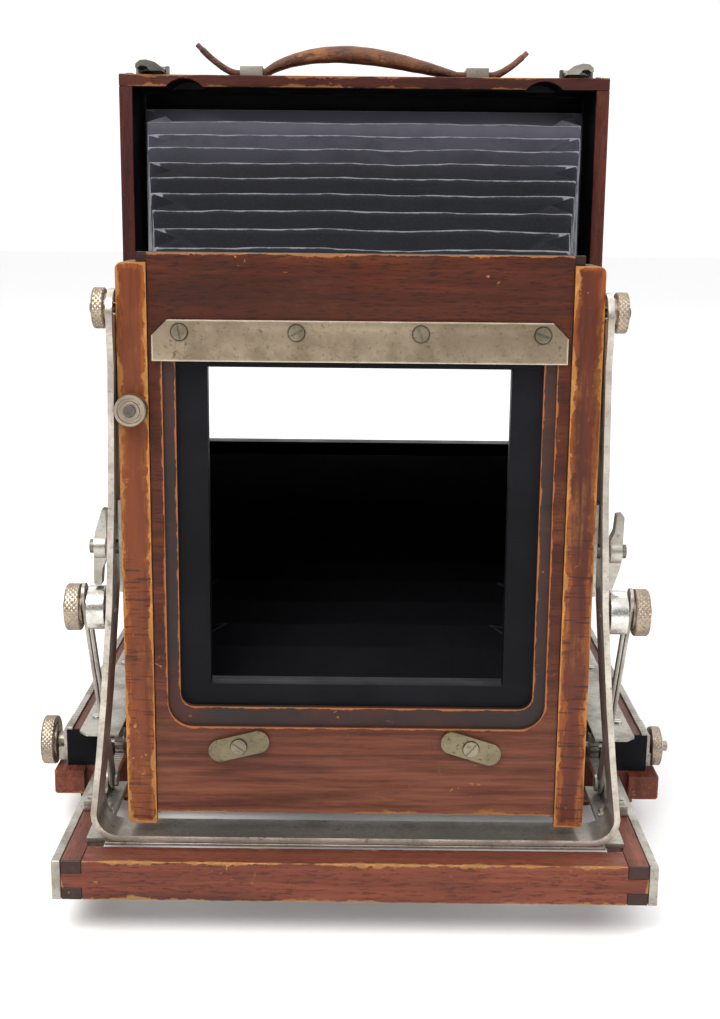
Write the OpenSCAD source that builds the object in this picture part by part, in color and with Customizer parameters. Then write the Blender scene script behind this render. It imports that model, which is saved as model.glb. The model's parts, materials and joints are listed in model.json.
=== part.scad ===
// Wooden field view camera: racking front bed, metal U bracket, sliding lens panel, tapered bellows, rear box.
// Millimetres. +X right seen from the front, +Y to the rear, +Z up. Origin: mouth of the tripod socket.

/* [Front frame] */
// outside width over the two front posts
frame_w = 200; // [199:0.5:200]
// height of the front posts
post_h = 244; // [240:1:246]
// width of a front post seen from the front
post_w = 12.5; // [12:0.1:12.5]
// thickness of a front post, front to back
post_t = 25; // [24:0.5:25]
// height of the sliding lens panel
panel_h = 243; // [240:1:246]
// thickness of the lens panel
panel_t = 12; // [11:0.5:12]

/* [Lens board seat] */
// side of the square lens board (6 inch)
board_w = 152.4; // [150:0.1:153]
// width of the opening behind the lens board
opening_w = 127.2; // [120:0.1:130]
// height of the opening behind the lens board
opening_h = 138.4; // [132:0.1:140]
// width of the shallow rounded rim round the seat
rim_w = 5.5; // [4:0.1:6]
// length of a turn button
latch_len = 27; // [24:0.5:28]

/* [U bracket] */
// thickness of the bracket strip
strip_t = 2.6; // [2.4:0.1:2.6]
// width of the bracket strip, front to back
strip_w = 19; // [18:0.5:20]
// half width over the bracket at its foot
foot_x = 116; // [115:0.5:116]
// half width over the bracket at its top
top_x = 103; // [103:0.1:103.6]
// outside radius of the lower corners
corner_r = 12.5; // [11:0.5:14]

/* [Bed] */
// overall length of the main bed
bed_len = 296; // [290:1:300]
// length of the front bed
slide_len = 278; // [276:1:280]
// height of the front bed rails
slide_h = 18; // [17:0.5:18]
// number of teeth on a focusing pinion
pinion_teeth = 15; // [15:1:15]
// tooth module of the rack and pinion
gear_m = 0.8; // [0.8:0.1:0.8]

/* [Rear box] */
// outside width of the box
box_w = 297; // [296:0.5:297]
// outside height of the box
box_h = 264; // [260:1:268]
// depth of the box
box_d = 70; // [66:1:74]
// thickness of the box boards
box_t = 8; // [7:0.5:8]
// width of the picture opening (10 inch)
picture_w = 254; // [240:1:256]
// height of the picture opening (8 inch)
picture_h = 203; // [190:1:205]

/* [Hidden] */
$fn = 48;
half_frame = frame_w / 2;
post_z = 46;
front_y = -250;
panel_z = 51;
panel_y = front_y + 1;
panel_hw = half_frame - post_w - 0.3;
seat_z = 99;
open_z = 108.6;
pivot_y = -244.5;
pivot_z = 170;
top_knob_z = 271;
boss_z = 143;
hinge_y = -229;
hinge_z = 42.5;
strut_y = -195;
strut_z = 44;
strut_run = norm([pivot_y - strut_y, boss_z - strut_z]);
strut_lean = atan2(strut_y - pivot_y, boss_z - strut_z);
bracket_z = 38.8;
rail_in = 131.5;
rail_top = 49.5;
bed_y = -146;
slide_y = -268;
slide_z = 18;
rail_x = 118;
shaft_y = -138;
pinion_r = gear_m * pinion_teeth / 2;
shaft_z = 41.1;
rack_y = -176;
rack_teeth = 60;
tooth_pitch = PI * gear_m;
box_y = 60;
box_z = 126;
box_top = box_z + box_h;
half_box = box_w / 2;
picture_z = 157;

// puts a right-hand piece on either side: 1 right, -1 left
module on_side(s) {
  mirror([s < 0 ? 1 : 0, 0, 0])
    children();
}

// a right-hand piece and its mirror image
module both_sides() {
  children();
  mirror([1, 0, 0])
    children();
}

// rod along X from x0 to x1
module rod_x(r, x0, x1) {
  translate([x0, 0, 0])
    rotate([0, 90, 0])
      cylinder(r = r, h = x1 - x0);
}

// rod along Y from y0 to y1
module rod_y(r, y0, y1) {
  translate([0, y0, 0])
    rotate([-90, 0, 0])
      cylinder(r = r, h = y1 - y0);
}

// box between two corners
module block(a, b) {
  translate(a)
    cube(b - a);
}

// flat shape in the XZ plane given thickness along Y
module plate_xz(y0, y1) {
  translate([0, y1, 0])
    rotate([90, 0, 0])
      linear_extrude(y1 - y0)
        children();
}

// flat shape in the YZ plane given thickness along X
module plate_yz(x0, x1) {
  translate([x0, 0, 0])
    rotate([90, 0, 90])
      linear_extrude(x1 - x0)
        children();
}

// round-ended bar from (0,0) up to (0,l)
module stadium(l, w) {
  translate([-w / 2, 0])
    square([w, l]);
  circle(d = w);
  translate([0, l])
    circle(d = w);
}

// slotted screw head facing -Y with a shank behind it, top of head at y = -h
module screw_y(r, h, shank, len) {
  difference() {
    rod_y(r, -h, 0);
    block([-r - 1, -h - 1, -r * 0.13], [r + 1, -h + 0.6, r * 0.13]);
  }
  rod_y(shank, 0, len);
}

// slotted screw head facing +Z with a shank below it
module screw_z(r, h, shank, len) {
  difference() {
    cylinder(r = r, h = h);
    block([-r - 1, -r * 0.15, h - 0.5], [r + 1, r * 0.15, h + 1]);
  }
  translate([0, 0, -len])
    cylinder(r = shank, h = len);
}

// slotted screw head facing +X with a shank behind it
module screw_x(r, h, shank, len) {
  difference() {
    rod_x(r, 0, h);
    block([h - 0.5, -r - 1, -r * 0.15], [h + 1, r + 1, r * 0.15]);
  }
  rod_x(shank, -len, 0);
}

// ---------- main bed ----------

// side rail with a low ledge on its outside that starts a little further forward
module main_rail(s) {
  color("sienna")
    on_side(s)
      difference() {
        union() {
          block([rail_in, bed_y, 17.8], [148.5, bed_y + bed_len, rail_top]);
          plate_xz(bed_y - 7, bed_y + bed_len)
            polygon([[139, 17.8], [153, 17.8], [154, 18.8], [154, 30], [139, 30]]);
        }
        translate([0, shaft_y, shaft_z])
          rod_x(3, rail_in - 1, 150);
        for (y = [-130, -40, 20])
          translate([136, y, rail_top - 5])
            cylinder(r = 1.1, h = 6);
      }
}

module bed_board() {
  color("saddlebrown")
    block([-143, bed_y + 2, 12], [143, bed_y + bed_len, 17.6]);
}

module bed_cross_rail() {
  color("sienna")
    block([-rail_in + 0.3, bed_y + bed_len - 14, 17.8], [rail_in - 0.3, bed_y + bed_len, rail_top]);
}

module bed_battens() {
  color("saddlebrown")
    for (y = [-110, 125])
      block([-125, y - 11, 0], [125, y + 11, 11.8]);
}

module tripod_block() {
  color("saddlebrown")
    difference() {
      block([-50, -50, 4], [50, 50, 11.8]);
      translate([0, 0, 3])
        cylinder(r = 8.2, h = 10);
    }
}

// plate with a collar that carries the 3/8 inch thread
module tripod_plate() {
  color("silver")
    difference() {
      union() {
        block([-42, -42, 0], [42, 42, 3.8]);
        cylinder(r = 8, h = 11.8);
      }
      translate([0, 0, -1])
        cylinder(r = 4.76, h = 14);
      for (a = [45:90:315])
        rotate([0, 0, a])
          translate([48, 0, -1]) {
            cylinder(r = 2, h = 6);
            cylinder(r = 3.8, h = 2.4);
          }
    }
}

module edge_strip() {
  color("silver")
    block([145.6, bed_y, rail_top], [148.9, box_y - 4, rail_top + 1.2]);
}

module track_plate() {
  color("silver")
    difference() {
      block([120.5, bed_y - 9, rail_top], [141, box_y - 12, rail_top + 1.4]);
      translate([141, bed_y - 9, rail_top - 1])
        rotate([0, 0, 45])
          cube([6, 6, 6], center = true);
      for (y = [-130, -40, 20])
        translate([136, y, rail_top - 1])
          cylinder(r = 1.3, h = 4);
    }
}

module track_screws() {
  color("gainsboro")
    for (s = [-1, 1])
      for (y = [-130, -40, 20])
        translate([136 * s, y, rail_top + 1.4])
          screw_z(2.4, 0.7, 1, 5);
}

// bearing for the cross shaft on the outside of a main rail
module pinion_bearing(s) {
  collar = s < 0 ? 153.9 : 150.6;
  color("silver")
    on_side(s)
      difference() {
        union() {
          block([148.7, shaft_y - 7.6, 33], [150.2, shaft_y + 16, 49.2]);
          translate([0, shaft_y, shaft_z])
            rod_x(4.4, 148.7, collar);
          block([148.7, shaft_y - 7.6, 33], [s < 0 ? 153 : 150.9, shaft_y - 6.2, 40]);
        }
        translate([0, shaft_y, shaft_z])
          rod_x(2.06, 140, 160);
        for (z = [37, 45.4])
          translate([0, shaft_y + 11, z])
            rod_x(1.1, 148, 152);
      }
}

module pinion_bearings() {
  pinion_bearing(-1);
  pinion_bearing(1);
}

module bearing_screws() {
  color("gainsboro")
    for (s = [-1, 1])
      for (z = [37, 45.4])
        on_side(s)
          translate([150.2, shaft_y + 11, z])
            screw_x(2, 0.8, 1, 1.6);
}

// ---------- rear ----------

module rear_base() {
  color("sienna")
    block([-half_box, box_y + 6, rail_top + 0.1], [half_box, box_y + 64, 66]);
}

module rear_arm() {
  color("silver")
    difference() {
      plate_yz(half_box + 0.2, half_box + 2)
        translate([box_y + 35, 60])
          stadium(150, 26);
      for (p = [[78, 60], [112, 60]])
        translate([0, box_y + 35, p[1]])
          rod_x(1.6, half_box - 1, half_box + 4);
      for (z = [140, 200])
        translate([0, box_y + 35, z])
          rod_x(1.6, half_box - 1, half_box + 4);
    }
}

module rear_arm_screws() {
  color("gainsboro")
    for (s = [-1, 1])
      for (z = [60, 140, 200])
        on_side(s)
          translate([half_box + 2, box_y + 35, z])
            screw_x(3, 1.2, 1.5, 1.7);
}

module box_side() {
  color("sienna")
    block([half_box - box_t, box_y, box_z], [half_box, box_y + box_d, box_top - 7.1]);
}

module box_top() {
  color("sienna")
    difference() {
      block([-half_box, box_y, box_top - 7], [half_box, box_y + box_d, box_top]);
      for (s = [-1, 1])
        translate([109 * s, 0, box_top - 17.2])
          rod_y(15, box_y - 1, box_y + 26);
    }
}

module box_bottom() {
  color("sienna")
    block([-half_box + box_t + 0.1, box_y, box_z], [half_box - box_t - 0.1, box_y + box_d, box_z + 7]);
}

module back_frame() {
  color("sienna")
    difference() {
      block([-half_box + box_t + 0.2, box_y + box_d - 14, box_z + 7.2],
        [half_box - box_t - 0.2, box_y + box_d, box_top - 7.2]);
      block([-picture_w / 2, box_y + box_d - 20, picture_z],
        [picture_w / 2, box_y + box_d + 1, picture_z + picture_h]);
    }
}

module corner_plate() {
  color("silver")
    difference() {
      union() {
        block([half_box + 0.1, box_y + 8, box_top - 27], [half_box + 1, box_y + 24, box_top + 1]);
        block([half_box - 8, box_y + 8, box_top + 0.1], [half_box + 1, box_y + 24, box_top + 1]);
      }
      translate([0, box_y + 16, box_top - 20])
        rod_x(1.3, half_box - 1, half_box + 3);
      translate([half_box - 4, box_y + 16, box_top - 1])
        cylinder(r = 1.3, h = 3);
    }
}

module corner_screws() {
  color("gainsboro")
    for (s = [-1, 1])
      on_side(s) {
        translate([half_box + 1, box_y + 16, box_top - 20])
          screw_x(2.4, 0.9, 1.1, 0.9);
        translate([half_box - 4, box_y + 16, box_top + 1])
          screw_z(2.4, 0.9, 1.1, 0.9);
      }
}

// screws of the tripod plate, heads down in their counterbores
module tripod_screws() {
  color("gainsboro")
    for (a = [45:90:315])
      rotate([0, 0, a])
        translate([48, 0, 1.3])
          mirror([0, 0, 1])
            screw_z(3.6, 1.1, 1.9, 2.4);
}

module case_screws() {
  tripod_screws();
  bearing_screws();
  rear_arm_screws();
  corner_screws();
}

// two ears with a pin between them
module catch_base() {
  color("dimgray")
    union() {
      block([120, box_y + 12, box_top + 0.1], [140, box_y + 22, box_top + 1.3]);
      for (x = [120, 138.4])
        difference() {
          block([x, box_y + 14, box_top + 1.3], [x + 1.6, box_y + 20, box_top + 6]);
          translate([0, box_y + 17, box_top + 3.8])
            rod_x(1, x - 1, x + 3);
        }
      translate([0, box_y + 17, box_top + 3.8])
        rod_x(1, 120, 140);
    }
}

// humped lever that turns on the pin
module catch(s) {
  color("gray")
    on_side(s)
      difference() {
        union() {
          plate_xz(box_y - 3, box_y + 15)
            polygon([[122, box_top + 1.8], [122, box_top + 3.8], [126, box_top + 6.8], [131, box_top + 8.2],
              [135, box_top + 8], [137.6, box_top + 6], [138, box_top + 3.6], [136.6, box_top + 3.2],
              [134.6, box_top + 4.8], [131.4, box_top + 4.4], [129, box_top + 1.8]]);
          translate([0, box_y + 17, box_top + 3.8])
            rod_x(2.2, 122, 138);
        }
        translate([0, box_y + 17, box_top + 3.8])
          rod_x(1.06, 119, 141);
      }
}

module handle_loops() {
  color("silver")
    for (s = [-1, 1])
      difference() {
        block([70 * s - 7, box_y + 22, box_top + 0.1], [70 * s + 7, box_y + 48, box_top + 7.4]);
        block([70 * s - 8, box_y + 25.5, box_top + 1.2], [70 * s + 8, box_y + 44.5, box_top + 6]);
      }
}

// middle line of the strap over the box and half its thickness: thick in the grip, thin at the ends
function strap_mid(x) = abs(x) > 79 ? 3.6 + pow(abs(x) - 79, 1.55) * 0.115
  : x > -62 && x < 57 ? 3.6 + 10.6 * sin(180 * pow((x + 62) / 119, 0.75)) : 3.6;
function strap_half(x) = x > -62 && x < 57 ? 2 + 2.6 * pow(sin(180 * (x + 62) / 119), 0.8) : 2;

// leather strap through both loops, arched between them, ends curled up
module handle_strap() {
  xs = [-104, -98, -91, -84, -79, -62, -56, -48, -38, -27, -15, -2, 12, 26, 38, 48, 57, 79, 84, 90, 96, 101];
  color("saddlebrown")
    plate_xz(box_y + 27, box_y + 43)
      translate([0, box_top])
        polygon(concat([for (x = xs) [x, strap_mid(x) + strap_half(x)]],
          [for (i = [len(xs) - 1:-1:0]) [xs[i], strap_mid(xs[i]) - strap_half(xs[i])]]));
}

module bellows_shell(g) {
  hull() {
    block([-84 - g, -227.4, 98 - g], [84 + g, -226, 268 + g]);
    block([-135 - g, 94, 147 - g], [135 + g, 95, 369 + g]);
  }
}

module bellows() {
  color("dimgray")
    difference() {
      bellows_shell(1);
      hull() {
        block([-66, -228, 107], [66, -227, 259]);
        block([-127, 95, 155], [127, 96, 361]);
      }
    }
}

// ---------- front bed ----------

module front_rail() {
  color("sienna") {
    block([-rail_x, slide_y, slide_z], [rail_x, slide_y + 15, slide_z + slide_h]);
    block([-127, slide_y, slide_z + 5.4], [127, slide_y + 14.9, slide_z + 12.2]);
  }
}

module slide_rail() {
  color("sienna")
    difference() {
      block([rail_x, slide_y, slide_z], [127, slide_y + slide_len, slide_z + slide_h]);
      block([rail_x - 1, slide_y - 1, slide_z + 5.4], [128, slide_y + 15, slide_z + 12.2]);
      block([119.8, rack_y - 0.2, 30.8], [125.2, rack_y + rack_teeth * tooth_pitch + 0.2, 40]);
    }
}

module slide_rear_rail() {
  color("sienna")
    block([-rail_x + 0.1, slide_y + slide_len - 15, slide_z], [rail_x - 0.1, slide_y + slide_len, slide_z + 14]);
}

module runner_bar() {
  color("silver")
    block([127.2, slide_y, slide_z], [131, slide_y + slide_len, slide_z + slide_h]);
}

// straight rack let into the top of a front bed rail
module rack() {
  pitch_line = shaft_z - pinion_r;
  color("silver")
    plate_yz(120, 125)
      polygon(concat([[rack_y, 31]],
        [for (i = [0:rack_teeth - 1])
          for (q = [[-0.75, -0.9], [-0.35, 0.45], [0.35, 0.45], [0.75, -0.9]])
            [rack_y + (i + 0.5) * tooth_pitch + q[0], pitch_line + q[1]]],
        [[rack_y + rack_teeth * tooth_pitch, 31]]));
}

// ---------- focusing drive ----------

module focus_shaft() {
  color("silver")
    translate([0, shaft_y, shaft_z]) {
      rod_x(2, -159.5, 150.9);
    }
}

// toothed wheels at rest stand with a gap over a rack tooth
module pinions() {
  first = (shaft_y - rack_y) / tooth_pitch - 0.5;
  phase = (first - floor(first)) * 360 / pinion_teeth;
  color("silver")
    for (s = [-1, 1])
      translate([0, shaft_y, shaft_z])
        on_side(s)
          plate_yz(120.3, 124.7)
            difference() {
              polygon([for (i = [0:pinion_teeth - 1])
                for (q = [[-4.2, 5.15], [-2.4, 6.4], [2.4, 6.4], [4.2, 5.15]])
                  q[1] * [sin(180 + (i + 0.5) * 360 / pinion_teeth + phase + q[0]),
                    cos(180 + (i + 0.5) * 360 / pinion_teeth + phase + q[0])]]);
              circle(r = 2.05);
            }
}

module focus_knob() {
  color("darkkhaki")
    translate([0, shaft_y, shaft_z])
      difference() {
        union() {
          rod_x(12.5, -161.4, -155);
          rod_x(9, -155, -154.3);
          rod_x(5, -162.2, -161.4);
        }
        rod_x(2.05, -159.5, -150);
      }
}

module focus_lock_knob() {
  color("darkkhaki")
    translate([0, shaft_y, shaft_z]) {
      rod_x(10, 151.2, 156.4);
      rod_x(6, 156.4, 157.4);
      rod_x(2.6, 157.4, 160.4);
    }
}

// ---------- carriage ----------

// strip under the bracket with two arms back along the rails, and a forked lug on each arm for the tilt hinge
module carriage_plate() {
  color("silver") {
    difference() {
      union() {
        block([-110, -254.6, 37.3], [110, -238, 38.5]);
        for (s = [-1, 1])
          on_side(s) {
            block([109, -250, 36.3], [119, -239, 38.5]);
            block([111, -240, 36.3], [119, -186, 38.5]);
            block([111, -216, 36.3], [126.6, -186, 38.5]);
          }
      }
      for (s = [-1, 1])
        translate([123 * s, -211, 36])
          cylinder(r = 1.6, h = 4);
    }
    both_sides()
      for (x = [[111, 112.9], [115.2, 117.1]])
        plate_yz(x[0], x[1])
          translate([hinge_y, hinge_z])
            difference() {
              union() {
                circle(r = 3.4);
                translate([-3.4, 38.4 - hinge_z])
                  square([6.8, hinge_z - 38.4]);
              }
              circle(r = 1.5);
            }
  }
}

module tilt_hinge_pin() {
  color("silver")
    both_sides()
      translate([0, hinge_y, hinge_z])
        rod_x(1.5, 110.4, 117.7);
}

// cleat on a front bed rail with the pin its strut turns on
module shoe() {
  color("silver")
    union() {
      block([117.8, -216, 38.5], [126.6, -186, 41]);
      plate_yz(118, 120.2) {
        translate([strut_y - 5.5, 41])
          square([11, strut_z - 41]);
        translate([strut_y, strut_z])
          intersection() {
            circle(r = 5.5);
            translate([-6, -1])
              square([12, 8]);
          }
      }
      translate([0, strut_y, strut_z]) {
        rod_x(2, 115.1, 119);
        rod_x(4, 114, 115.2);
      }
      translate([123, -211, 41])
        screw_z(2.8, 1.1, 1.5, 4.4);
    }
}

// brace with a long slot that the clamp stud slides in
module strut(s) {
  color("silver")
    on_side(s)
      plate_yz(116, 117.5)
        translate([strut_y, strut_z])
          rotate(strut_lean)
            difference() {
              stadium(strut_run + 7, 10.4);
              circle(r = 2.06);
              translate([0, strut_run - 84])
                stadium(84 + 0.6, 5.8);
            }
}

// ---------- U bracket ----------

// outside line of the right half of the bracket, from the foot up, moved in by t
function bracket_side(t) = [
  for (a = [-90:15:0]) [foot_x - corner_r + (corner_r - t) * cos(a), bracket_z + corner_r + (corner_r - t) * sin(a)],
  [113 - t, 76], [110.2 - t, 103], [106.6 - t, 146], [104.6 - t, 191], [top_x - t, 262], [top_x - t, 281]];

// bent strip with a pointed top on each leg and an ear behind each foot for the tilt hinge
module u_bracket() {
  outer = bracket_side(0);
  inner = bracket_side(strip_t);
  n = len(outer) - 1;
  mid_y = -235 - strip_w / 2;
  color("silver") {
    difference() {
      plate_xz(-260, -229)
        polygon(concat(outer,
          [for (i = [n:-1:0]) inner[i]],
          [for (i = [0:n]) [-inner[i][0], inner[i][1]]],
          [for (i = [n:-1:0]) [-outer[i][0], outer[i][1]]]));
      for (y = [[-270, mid_y - strip_w / 2], [mid_y + strip_w / 2, -220]])
        block([-130, y[0], 30], [130, y[1], 250]);
      for (s = [-1, 1])
        on_side(s)
          plate_yz(95, 120)
            difference() {
              translate([-275, 249])
                square([60, 40]);
              translate([pivot_y - 12.7, 262])
                square([25.4, 7]);
              translate([0, 0])
                polygon([[pivot_y - strip_w / 2, 248], [pivot_y + strip_w / 2, 248],
                  [pivot_y + 12.7, 262.1], [pivot_y - 12.7, 262.1]]);
              translate([pivot_y - 2.7, 269])
                circle(r = 10);
              translate([pivot_y + 2.7, 269])
                circle(r = 10);
              translate([pivot_y - 2.7, 262])
                square([5.4, 17]);
            }
      for (s = [-1, 1])
        on_side(s) {
          plate_yz(95, 120)
            translate([pivot_y, top_knob_z])
              rotate(90)
                translate([0, -7.2])
                  stadium(14.4, 5.2);
          translate([0, pivot_y, pivot_z])
            rod_x(3.06, 95, 120);
          translate([0, pivot_y, boss_z])
            rod_x(2.55, 95, 120);
        }
    }
    both_sides()
      plate_yz(113.2, 114.9)
        difference() {
          union() {
            translate([hinge_y, hinge_z])
              circle(r = 3.2);
            polygon([[-237, 47], [-237, 60], [hinge_y + 3.2, hinge_z], [hinge_y - 3.2, hinge_z]]);
          }
          translate([hinge_y, hinge_z])
            circle(r = 1.56);
        }
  }
}

// round spacer with the clamp stud of the strut
module boss() {
  color("gainsboro")
    translate([0, pivot_y, boss_z]) {
      difference() {
        rod_x(9.5, 107.8, 115.6);
        rod_x(2.5, 105, 116);
      }
      rod_x(2.5, 104, 126.6);
    }
}

// round knob with a cone seat, free on its stud
module clamp_knob(r, x0, x1, stud) {
  color("darkkhaki")
    difference() {
      union() {
        rod_x(r, x0 + 1, x1);
        rod_x(r * 0.72, x0, x0 + 1);
      }
      rod_x(stud + 0.05, x0 - 1, x1 + 1);
    }
}

module strut_knob(s) {
  on_side(s)
    translate([0, pivot_y, boss_z])
      clamp_knob(10.2, 117.8, 124.8, 2.5);
}

// ---------- tilting front frame ----------

module post(s) {
  color("chocolate")
    on_side(s)
      difference() {
        plate_xz(front_y, front_y + post_t)
          difference() {
            translate([half_frame - post_w, post_z])
              square([post_w, post_h]);
            translate([half_frame - 3, post_z + post_h - 3])
              difference() {
                square(4);
                circle(r = 3);
              }
            translate([half_frame - 2, post_z + 2])
              rotate(-90)
                difference() {
                  square(3);
                  circle(r = 2);
                }
          }
        block([half_frame - post_w - 1, front_y + 4, post_z - 1],
          [half_frame - post_w + 5, front_y + 11, post_z + post_h + 1]);
        translate([0, pivot_y, pivot_z])
          rod_x(3.05, half_frame - 7, half_frame + 1);
        translate([0, pivot_y, top_knob_z])
          rod_x(2.05, half_frame - 7, half_frame + 1);
        if (s < 0)
          translate([half_frame - 6, front_y, 230])
            rod_y(2.55, -1, 3.6);
      }
}

module frame_bottom_rail() {
  color("saddlebrown")
    block([-half_frame + post_w + 0.1, front_y + 14.5, 46.5], [half_frame - post_w - 0.1, front_y + 24, 56]);
}

module post_plate() {
  color("silver")
    plate_yz(half_frame + 0.1, half_frame + 1.4)
      difference() {
        translate([pivot_y - 4.5, 151])
          square([20, 40]);
        translate([pivot_y, pivot_z])
          circle(r = 3.05);
      }
}

module pivot_bolt() {
  color("dimgray")
    translate([0, pivot_y, pivot_z])
      rod_x(3, half_frame - 6.8, 114.3);
}

module top_stud(s) {
  color("dimgray")
    on_side(s)
      translate([0, pivot_y, top_knob_z])
        rod_x(2, half_frame - 6.8, 111.4);
}

// nut with two wings, one bent away from the bracket leg
module wing_nut(s) {
  color("silver")
    on_side(s)
      translate([0, pivot_y, pivot_z])
        difference() {
          union() {
            rod_x(5.5, 107.2, 112);
            plate_xz(-3.2, 3.2)
              polygon([for (p = [[107, -16.2], [108.5, -16.6], [110, -12], [111.8, -6], [112.4, 4], [112.6, 15.4],
                [111.8, 16.6], [109.4, 16.2], [108.8, 9], [107, 5], [106.8, -6]]) [p[0], s * p[1]]]);
          }
          rod_x(3.05, 100, 116);
        }
}

module top_knob(s) {
  on_side(s)
    translate([0, pivot_y, top_knob_z])
      clamp_knob(8.5, 104, 109.8, 2);
}

module rise_lock_stud() {
  color("dimgray")
    translate([-half_frame + 6, front_y, 230])
      rod_y(2.5, -9.4, 3.4);
}

module clamp_studs() {
  top_stud(-1);
  top_stud(1);
  rise_lock_stud();
}

module rise_lock_knob() {
  color("darkkhaki")
    translate([-half_frame + 6, front_y, 230])
      difference() {
        union() {
          rod_y(6.75, -7.6, -1);
          rod_y(5, -1, -0.3);
        }
        difference() {
          rod_y(5.2, -9, -6.9);
          rod_y(3.9, -9, -6);
        }
        rod_y(2.55, -9, 1);
      }
}

// ---------- sliding lens panel ----------

// rectangle with rounded lower corners, open upwards
module seat_shape(hw, z0, z1, r) {
  translate([-hw, z0 + r])
    square([2 * hw, z1 - z0 - r]);
  translate([-hw + r, z0])
    square([2 * (hw - r), r + 0.01]);
  for (s = [-1, 1])
    translate([s * (hw - r), z0 + r])
      circle(r = r);
}

module lens_panel() {
  seat_top = seat_z + board_w + 0.6;
  color("maroon")
    difference() {
      union() {
        block([-panel_hw, panel_y, panel_z], [panel_hw, panel_y + panel_t, panel_z + panel_h]);
        block([-panel_hw - 4.8, front_y + 4.3, panel_z], [panel_hw + 4.8, front_y + 10.7, panel_z + panel_h]);
      }
      plate_xz(panel_y - 1, panel_y + 2.2)
        seat_shape(board_w / 2 + rim_w, seat_z - 8.4, seat_top, 11);
      plate_xz(panel_y - 1, panel_y + 5.5)
        seat_shape(board_w / 2 + 0.3, seat_z, seat_top, 6);
      plate_xz(panel_y - 1, panel_y + panel_t + 1)
        translate([-opening_w / 2, open_z])
          square([opening_w, opening_h]);
      for (x = [-74, -26, 25, 75])
        translate([x, panel_y, 262])
          rod_y(1.5, -1, 6.2);
      for (x = [-51, 50])
        translate([x, panel_y, 82.4])
          rod_y(2.5, -1, 6.2);
    }
}

module retainer_strip() {
  color("rosybrown")
    difference() {
      plate_xz(panel_y - 2.1, panel_y - 0.1)
        polygon([[-85.5, 250], [85.5, 250], [85.5, 260.5], [79, 267], [-79, 267], [-85.5, 260.5]]);
      for (x = [-74, -26, 25, 75])
        translate([x, panel_y, 262])
          rod_y(1.6, -3, 1);
    }
}

module retainer_screws() {
  color("gray")
    for (p = [[-74, 80], [-26, -25], [25, 70], [75, 20]])
      translate([p[0], panel_y - 2.1, 262])
        rotate([0, p[1], 0])
          screw_y(3.25, 0.9, 1.45, 8);
}

module bellows_front_frame() {
  color("saddlebrown")
    difference() {
      block([-86, panel_y + panel_t + 0.1, 66], [86, front_y + 22.5, 276]);
      block([-66, panel_y + panel_t - 1, 107], [66, front_y + 24, 259]);
    }
}

// oval turn button with a countersunk screw
module latch(x, lean) {
  color("rosybrown")
    translate([x, panel_y, 82.4])
      rotate([0, lean, 0])
        difference() {
          plate_xz(-2, -0.3)
            rotate(-90)
              translate([0, -latch_len / 2 + 5])
                stadium(latch_len - 10, 10);
          rod_y(2.56, -3, 1);
        }
}

module latch_screws() {
  color("gray")
    for (p = [[-51, 35], [50, -50]])
      translate([p[0], panel_y - 2, 82.4])
        rotate([0, p[1], 0])
          screw_y(3.4, 1, 2.5, 8);
}

module panel_screws() {
  retainer_screws();
  latch_screws();
}

main_rail(-1);  // main_rail_left
main_rail(1);  // main_rail_right
bed_board();
bed_cross_rail();
bed_battens();
tripod_block();
tripod_plate();
both_sides() edge_strip();  // edge_strips
both_sides() track_plate();  // track_plates
track_screws();
pinion_bearings();
rear_base();
both_sides() rear_arm();  // rear_arms
both_sides() box_side();  // box_sides
box_top();
box_bottom();
back_frame();
both_sides() corner_plate();  // corner_plates
case_screws();
both_sides() catch_base();  // catch_bases
catch(-1);  // catch_left
catch(1);  // catch_right
handle_loops();
handle_strap();
bellows();
front_rail();
both_sides() slide_rail();  // slide_rails
slide_rear_rail();
both_sides() runner_bar();  // runner_bars
both_sides() rack();  // racks
focus_shaft();
pinions();
focus_knob();
focus_lock_knob();
carriage_plate();
tilt_hinge_pin();
both_sides() shoe();  // shoes
strut(-1);  // strut_left
strut(1);  // strut_right
u_bracket();
both_sides() boss();  // bosses
strut_knob(-1);  // strut_knob_left
strut_knob(1);  // strut_knob_right
post(-1);  // post_left
post(1);  // post_right
frame_bottom_rail();
both_sides() post_plate();  // post_plates
both_sides() pivot_bolt();  // pivot_bolts
clamp_studs();
wing_nut(-1);  // wing_nut_left
wing_nut(1);  // wing_nut_right
top_knob(-1);  // top_knob_left
top_knob(1);  // top_knob_right
rise_lock_knob();
lens_panel();
retainer_strip();
bellows_front_frame();
latch(-51, -14);  // latch_left
latch(50, 17);  // latch_right
panel_screws();
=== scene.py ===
import json
import math

import bmesh
import bpy
import numpy as np
from mathutils import Matrix, Vector, noise

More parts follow.
